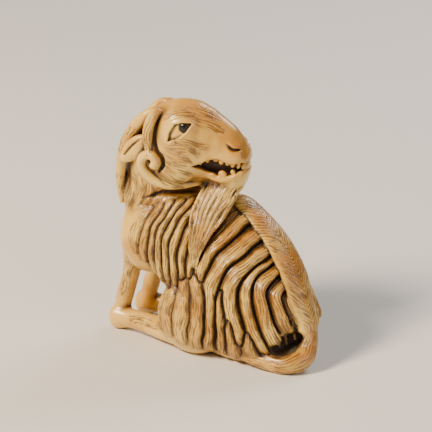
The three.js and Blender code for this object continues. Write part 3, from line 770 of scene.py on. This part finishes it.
def strandTree():
    # sweeps a tapering round strand along every chain of edges
    tree = bpy.data.node_groups.new("carvedStrands", "GeometryNodeTree")
    for name, kind, value in (("Paths", "Geometry", None), ("Steps", "Int", 28), ("Around", "Int", 12),
                              ("Half Width", "Float", 0.5), ("Tip Share", "Float", 0.4),
                              ("Ivory", "Material", None)):
        socket = tree.interface.new_socket(name=name, in_out="INPUT", socket_type="NodeSocket" + kind)
        if value is not None:
            socket.default_value = value
    tree.interface.new_socket(name="Strands", in_out="OUTPUT", socket_type="NodeSocketGeometry")
    given = tree.nodes.new("NodeGroupInput").outputs
    paths = addNode(tree, "GeometryNodeMeshToCurve", None, {"Mesh": given["Paths"]})
    even = addNode(tree, "GeometryNodeResampleCurve", None, {"Curve": paths, "Count": given["Steps"]})
    share = addNode(tree, "GeometryNodeSplineParameter", output="Factor")
    taper = addNode(tree, "ShaderNodeMapRange", None, {
        "Value": share, "To Min": 1.0, "To Max": given["Tip Share"]})
    half = addNode(tree, "ShaderNodeMath", {"operation": "MULTIPLY"}, {0: taper, 1: given["Half Width"]})
    ring = addNode(tree, "GeometryNodeCurvePrimitiveCircle", None, {
        "Resolution": given["Around"], "Radius": 1.0})
    swept = addNode(tree, "GeometryNodeCurveToMesh", None, {
        "Curve": even, "Profile Curve": ring, "Scale": half, "Fill Caps": True})
    real = addNode(tree, "GeometryNodeRealizeInstances", None, {"Geometry": swept})
    painted = addNode(tree, "GeometryNodeSetMaterial", None, {"Geometry": real, "Material": given["Ivory"]})
    addNode(tree, "NodeGroupOutput", None, {"Strands": painted})
    return tree


def strands(tree, lines, half, tip, material):
    # the strands of one bundle as plain points and triangles, for the block
    paths, edges = [], []
    steps = 16
    for line in lines:
        first = len(paths)
        paths += [tuple(curvePoint(line, k / steps)) for k in range(steps + 1)]
        edges += [(first + k, first + k + 1) for k in range(steps)]
    mesh = bpy.data.meshes.new("strandPaths")
    mesh.from_pydata(paths, edges, [])
    holder = placed("strandPaths", mesh)
    grower = holder.modifiers.new("strands", "NODES")
    grower.node_group = tree
    values = {"Half Width": half, "Tip Share": tip, "Ivory": material}
    for socket in tree.interface.items_tree:
        if socket.name in values:
            grower[socket.identifier] = values[socket.name]
    graph = bpy.context.evaluated_depsgraph_get()
    grown = bpy.data.meshes.new_from_object(holder.evaluated_get(graph))
    holder.modifiers.remove(grower)
    bpy.data.objects.remove(holder)
    grown.calc_loop_triangles()
    points = np.array([vertex.co[:] for vertex in grown.vertices])
    triangles = np.array([triangle.vertices[:] for triangle in grown.loop_triangles])
    bpy.data.meshes.remove(grown)
    return points, triangles


def carveStrands(block, ivory):
    tree = strandTree()
    block.add(strands(tree, spread(beard["edges"], beard["strands"]), beard["half"], beard["tip"], ivory),
              beard["blend"])
    block.add(strands(tree, ridge["loose"], ridge["looseHalf"], ridge["looseTip"], ivory),
              ridge["looseBlend"])


def darkPlaces(points):
    # painted shade inside the mouth and in the hollow behind the tail, the iris's own dark colour, and which
    # points are eyeball
    x, y, z = ((points - np.array(carving["head"]["place"])) @ headBasis().T).T
    wide, front = mouth["darkWithin"]
    # painted shade inside the mouth
    dark = within(mouthOutline(), x, z) & (np.abs(y) < wide) & (x < front)
    (irisX, irisZ), iris = eye["iris"]
    away = np.hypot(x - irisX, z - irisZ)
    opened = within(np.array(eye["opening"]), x, z) & (np.abs(y) > 3)
    dark = np.maximum(dark * 0.9, opened * 0.8 * (1 - smooth(0.7, 1.1, away / iris)))
    centre, radii, turn = ridge["hollow"]
    turnedBack = (points - np.array(centre)) @ turnedY(turn).T / np.array(radii)
    # painted shade: the hollow behind the tail is darkened nearly to black
    dark = np.maximum(dark, 1 - smooth(1.0, 1.2, np.linalg.norm(turnedBack, axis=1)))
    return dark, opened & (away > iris)


def carveGoat(ivory):
    block = Block()
    carveTrunk(block)
    report("trunk")
    points, quads = block.skin()
    locks = coatLocks(BVHTree.FromPolygons(points.tolist(), quads.tolist()))
    trunkDepth = block.depth.copy()
    block.add(bar(ridge["line"], up=(0.6, -0.15, 0.8)), 0.35)
    block.add(bar(beard["mass"], up=(0, -1, 0.6)), 0.4)
    carveLimbs(block)
    carveHead(block)
    report("head and limbs")
    centre, radii, turn = ridge["hollow"]
    block.cut(ball(centre, radii, turn=turn), 0.4)
    block.cut(bar(ridge["crease"]), 0.5)
    carveStrands(block, ivory)
    carveBase(block)
    points, quads = block.skin()
    report(f"skin of {len(quads)} quads")
    normals = vertexNormals(points, quads)
    if (normals * (points - points.mean(0))).sum() < 0:
        normals, quads = -normals, quads[:, ::-1]
    # locks grow where the trunk's own skin shows, and combed hair on the rest
    onTrunk = 1 - smooth(0.15, 0.5, np.abs(block.at(points, trunkDepth)))
    fur = combHeights(points, locks, onTrunk * smooth(0.1, 0.8, points[:, 2]), coat["furEdge"])
    skinTree = BVHTree.FromPolygons(points.tolist(), quads.tolist())
    hair = combHeights(points, combedHair(skinTree), 1 - fur["grown"], coat["hairEdge"])
    dark, eyeball = darkPlaces(points)
    # painted shade: how far each surface faces up and towards the tail, the side that is tinted orange by its
    # facing alone
    sideShade = smooth(0.3, 0.95, normals @ unit(np.array([0.7, 0.1, 0.7])))
    points = points + normals * (fur["height"] + hair["height"])[:, None]
    report("coat")
    narrow, broad = stained(points, quads)
    report("stainAndShade")
    piece = meshOf("ivoryGoat", points + np.array(carving["shift"]), quads)
    furred = fur["grown"] >= hair["grown"]
    for name, values in (("groove", narrow), ("hollow", np.where(eyeball, -0.2, broad)),  # a pale eyeball
                         ("sideShade", sideShade), ("dark", dark),
                         ("parting", np.maximum(fur["parting"], hair["parting"])),
                         ("hair", np.maximum(fur["grown"], hair["grown"])),
                         ("across", np.where(furred, fur["across"], hair["across"])),
                         ("along", np.where(furred, fur["along"], hair["along"]))):
        setAttribute(piece.data, name, values)
    lightened(piece, carving["mostTriangles"] / (2 * len(quads)))
    report(f"{len(piece.data.polygons)} faces")
    return piece


def maths(tree, operation, a, b=0.0):
    return addNode(tree, "ShaderNodeMath", {"operation": operation}, {0: a, 1: b})


def ramp(tree, value, low, high, least=0.0, most=1.0):
    return addNode(tree, "ShaderNodeMapRange", {"interpolation_type": "SMOOTHSTEP"}, {
        "Value": value, "From Min": low, "From Max": high, "To Min": least, "To Max": most})


def laidOver(tree, colour, other, share):
    return addNode(tree, "ShaderNodeMix", {"data_type": "RGBA"}, {0: share, 6: colour, 7: other}, 2)


ivoryFinish = {
    # the orange is laid as painted shade, and the darkest colour also paints shade inside the mouth and in
    # the tail's hollow
    "pale": "#E8C365", "honey": "#C28E33", "orange": "#AE7223", "amber": "#5C3A0C", "stainAndShade": "#241103",
    "cloud": 7.0, "wear": 2.0, "grain": 1.1,  # mm across a patch of each
    "strand": (0.3, 2.9),  # mm across and along a stained scratch
    "scratchDepth": 0.14, "roughness": 0.27, "ior": 1.54,
}


def scratches(tree, wear, hair, across, along):
    # a regular engraved line, worn away here and there, and longer random scratches
    line = maths(tree, "COSINE", maths(tree, "MULTIPLY", across, 2 * math.pi / coat["spacing"]))
    line = maths(tree, "MULTIPLY", ramp(tree, line, 0.0, -0.9), ramp(tree, wear, 0.4, 0.6, 0.25))
    wide, long = ivoryFinish["strand"]
    combed = addNode(tree, "ShaderNodeCombineXYZ", None, {
        "X": maths(tree, "MULTIPLY", across, 1 / wide), "Y": maths(tree, "MULTIPLY", along, 1 / long)})
    scratch = addNode(tree, "ShaderNodeTexNoise", None, {"Vector": combed, "Scale": 1.0, "Detail": 4.0})
    scratch = maths(tree, "MAXIMUM", ramp(tree, scratch, 0.5, 0.64), line)
    return maths(tree, "MULTIPLY", scratch, hair)


def polishedIvory():
    # old ivory, polished by handling: glossy, warm and a little translucent, honey in patches, with painted
    # shade in orange on the side turned up and towards the tail, with dark stain rubbed into every cut and
    # hair line, and painted shade nearly black inside the mouth and the hollow behind the tail
    material, tree = freshMaterial("polishedIvory")
    pale, honey, orange, amber, stainAndShade = (
        linear(ivoryFinish[name]) for name in ("pale", "honey", "orange", "amber", "stainAndShade"))
    groove, hollow, sideShade, dark, parting, hair, across, along = (
        addNode(tree, "ShaderNodeAttribute", {"attribute_name": name}, output="Fac")
        for name in ("groove", "hollow", "sideShade", "dark", "parting", "hair", "across", "along"))
    place = addNode(tree, "ShaderNodeTexCoord", output="Object")
    clouds, wear, grain = (
        addNode(tree, "ShaderNodeTexNoise", None, {
            "Vector": place, "Scale": 1 / (ivoryFinish[name] * mm), "Detail": detail})
        for name, detail in (("cloud", 5.0), ("wear", 3.0), ("grain", 3.0)))
    scratch = scratches(tree, wear, hair, across, along)
    # the colour: honey in patches, orange painted shade on the side turned up, then the stain from broad and
    # thin to narrow and dark, and nearly black painted shade last
    colour = laidOver(tree, pale, honey, ramp(tree, clouds, 0.35, 0.7))
    # painted shade: orange on the side turned up and towards the tail, stronger in patches
    sideShadeShare = maths(tree, "MULTIPLY", ramp(tree, clouds, 0.25, 0.6, 0.35, 0.9), sideShade)
    colour = laidOver(tree, colour, orange, sideShadeShare)
    colour = laidOver(tree, colour, amber, ramp(tree, hollow, -0.08, 0.12, 0.0, 0.9))
    colour = laidOver(tree, colour, amber, maths(tree, "MULTIPLY", scratch, 0.85))
    cut = maths(tree, "MAXIMUM", ramp(tree, groove, 0.0, 0.2), maths(tree, "MULTIPLY", parting, 0.74))
    colour = laidOver(tree, colour, stainAndShade, maths(tree, "MULTIPLY", cut, 0.94))
    # painted shade, nearly black, inside the mouth and in the hollow behind the tail; the iris is the eye's
    # own dark colour
    colour = laidOver(tree, colour, stainAndShade, maths(tree, "MULTIPLY", dark, 0.85))
    # the stain and the painted shade are dull where polish can't reach them
    dull = maths(tree, "MULTIPLY", maths(tree, "MAXIMUM", cut, dark), 0.4)
    rough = maths(tree, "ADD", dull, ivoryFinish["roughness"])
    height = maths(tree,
                   "SUBTRACT", maths(tree, "MULTIPLY", grain, 0.08), maths(tree, "MULTIPLY", scratch, 0.6))
    bump = addNode(tree, "ShaderNodeBump", None, {
        "Strength": 0.6, "Distance": ivoryFinish["scratchDepth"] * mm, "Height": height})
    surface = addNode(tree, "ShaderNodeBsdfPrincipled", None, {
        "Base Color": colour, "Roughness": rough, "IOR": ivoryFinish["ior"], "Normal": bump,
        "Subsurface Weight": 0.08, "Subsurface Scale": 0.6 * mm, "Subsurface Radius": (1.0, 0.6, 0.3)})
    addNode(tree, "ShaderNodeOutputMaterial", None, {"Surface": surface})
    return material


def plainMaterial(name, look):
    material, tree = freshMaterial(name)
    surface = addNode(tree, "ShaderNodeBsdfPrincipled", None, look)
    addNode(tree, "ShaderNodeOutputMaterial", None, {"Surface": surface})
    return material


def darkHorn():
    # polished water-buffalo horn: nearly black, with a soft highlight
    return plainMaterial("darkHorn", {"Base Color": linear("#0A0402"), "Roughness": 0.3, "IOR": 1.5})


view = {"azimuth": 32.0, "elevation": 20.0, "distance": 480.0, "target": (-1.265, 0.087, 24.0),
        "lens": 222.4}


def placeCamera():
    azimuth, elevation = math.radians(view["azimuth"]), math.radians(view["elevation"])
    level = math.cos(elevation)
    toCamera = Vector((math.sin(azimuth) * level, -math.cos(azimuth) * level, math.sin(elevation)))
    camera = placed("camera", bpy.data.cameras.new("camera"))
    camera.data.lens = view["lens"]
    camera.data.sensor_width = 36
    camera.data.clip_start = 0.01
    camera.location = (Vector(view["target"]) + toCamera * view["distance"]) * mm
    camera.rotation_euler = toCamera.to_track_quat("Z", "Y").to_euler()
    bpy.context.scene.camera = camera


def palePaper():
    # matt pale paper: no gleam of its own, it only takes the carving's soft shadow
    return plainMaterial("palePaper", {"Base Color": linear("#D8D5CF"), "Roughness": 0.8})


# the sheet, in metres: half its width, how far it reaches in front and behind, its bend and its height
paper = {"wide": 1.6, "front": 1.0, "back": 0.5, "bend": 0.3, "high": 0.9, "steps": 16}


def placeFloor():
    back, bend = paper["back"], paper["bend"]
    profile = [(-paper["front"], 0.0)]
    profile += [(back + bend * math.sin(a), bend * (1 - math.cos(a)))
                for a in np.linspace(0, math.pi / 2, paper["steps"] + 1)]
    profile += [(back + bend, paper["high"])]
    azimuth = math.radians(view["azimuth"])
    alongView = Vector((-math.sin(azimuth), math.cos(azimuth), 0))
    acrossView = Vector((math.cos(azimuth), math.sin(azimuth), 0))
    points = []
    for side in (-1, 1):
        points += [tuple(alongView * p + acrossView * side * paper["wide"] + Vector((0, 0, z)))
                   for p, z in profile]
    n = len(profile)
    faces = [(i, n + i, n + i + 1, i + 1) for i in range(n - 1)]
    mesh = bpy.data.meshes.new("floor")
    mesh.from_pydata(points, [], faces)
    floor = placed("floor", mesh)
    mesh.materials.append(palePaper())
    for polygon in mesh.polygons:
        polygon.use_smooth = True


def softLight(name, place, size, power, colour="#FFFFFF"):
    light = bpy.data.lights.new(name, "AREA")
    light.shape = "RECTANGLE"
    light.size, light.size_y = size
    light.energy = power
    light.color = linear(colour)[:3]
    lamp = placed(name, light)
    lamp.location = place
    middle = Vector((0, 0, 0.022))
    lamp.rotation_euler = (Vector(place) - middle).to_track_quat("Z", "Y").to_euler()


def placeLights():
    azimuth = math.radians(view["azimuth"])
    right = Vector((math.cos(azimuth), math.sin(azimuth), 0))
    near = Vector((math.sin(azimuth), -math.cos(azimuth), 0))
    top = Vector((0, 0, 1))
    softLight("key", right * -0.32 + near * 0.18 + top * 0.36, (0.14, 0.14), 5.5, "#FFE8CC")
    softLight("fill", right * 0.40 + near * 0.35 + top * 0.20, (0.35, 0.35), 0.9)
    softLight("rim", right * 0.25 + near * -0.30 + top * 0.35, (0.25, 0.2), 1.6)
    world = bpy.data.worlds.new("room")
    world.use_nodes = True
    world.node_tree.nodes["Background"].inputs["Color"].default_value = linear("#E8E8EA")
    world.node_tree.nodes["Background"].inputs["Strength"].default_value = 0.22
    bpy.context.scene.world = world


def placePupils(material):
    (x, y, z), radii = eye["pupil"]
    for side, node, name in ((-1, "pupil_right", "hornPupilRight"), (1, "pupil_left", "hornPupilLeft")):
        points, faces = onHead(ball((x, side * y, z), radii))
        piece = meshOf(name, points + np.array(carving["shift"]), faces)
        piece.data.materials.append(material)
        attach(piece, "root")
        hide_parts(node)


ivory = polishedIvory()
goat = carveGoat(ivory)
goat.data.materials.append(ivory)
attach(goat, "root")
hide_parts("goat")
placePupils(darkHorn())
placeCamera()
placeFloor()
placeLights()
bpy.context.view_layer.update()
report("scene ready")
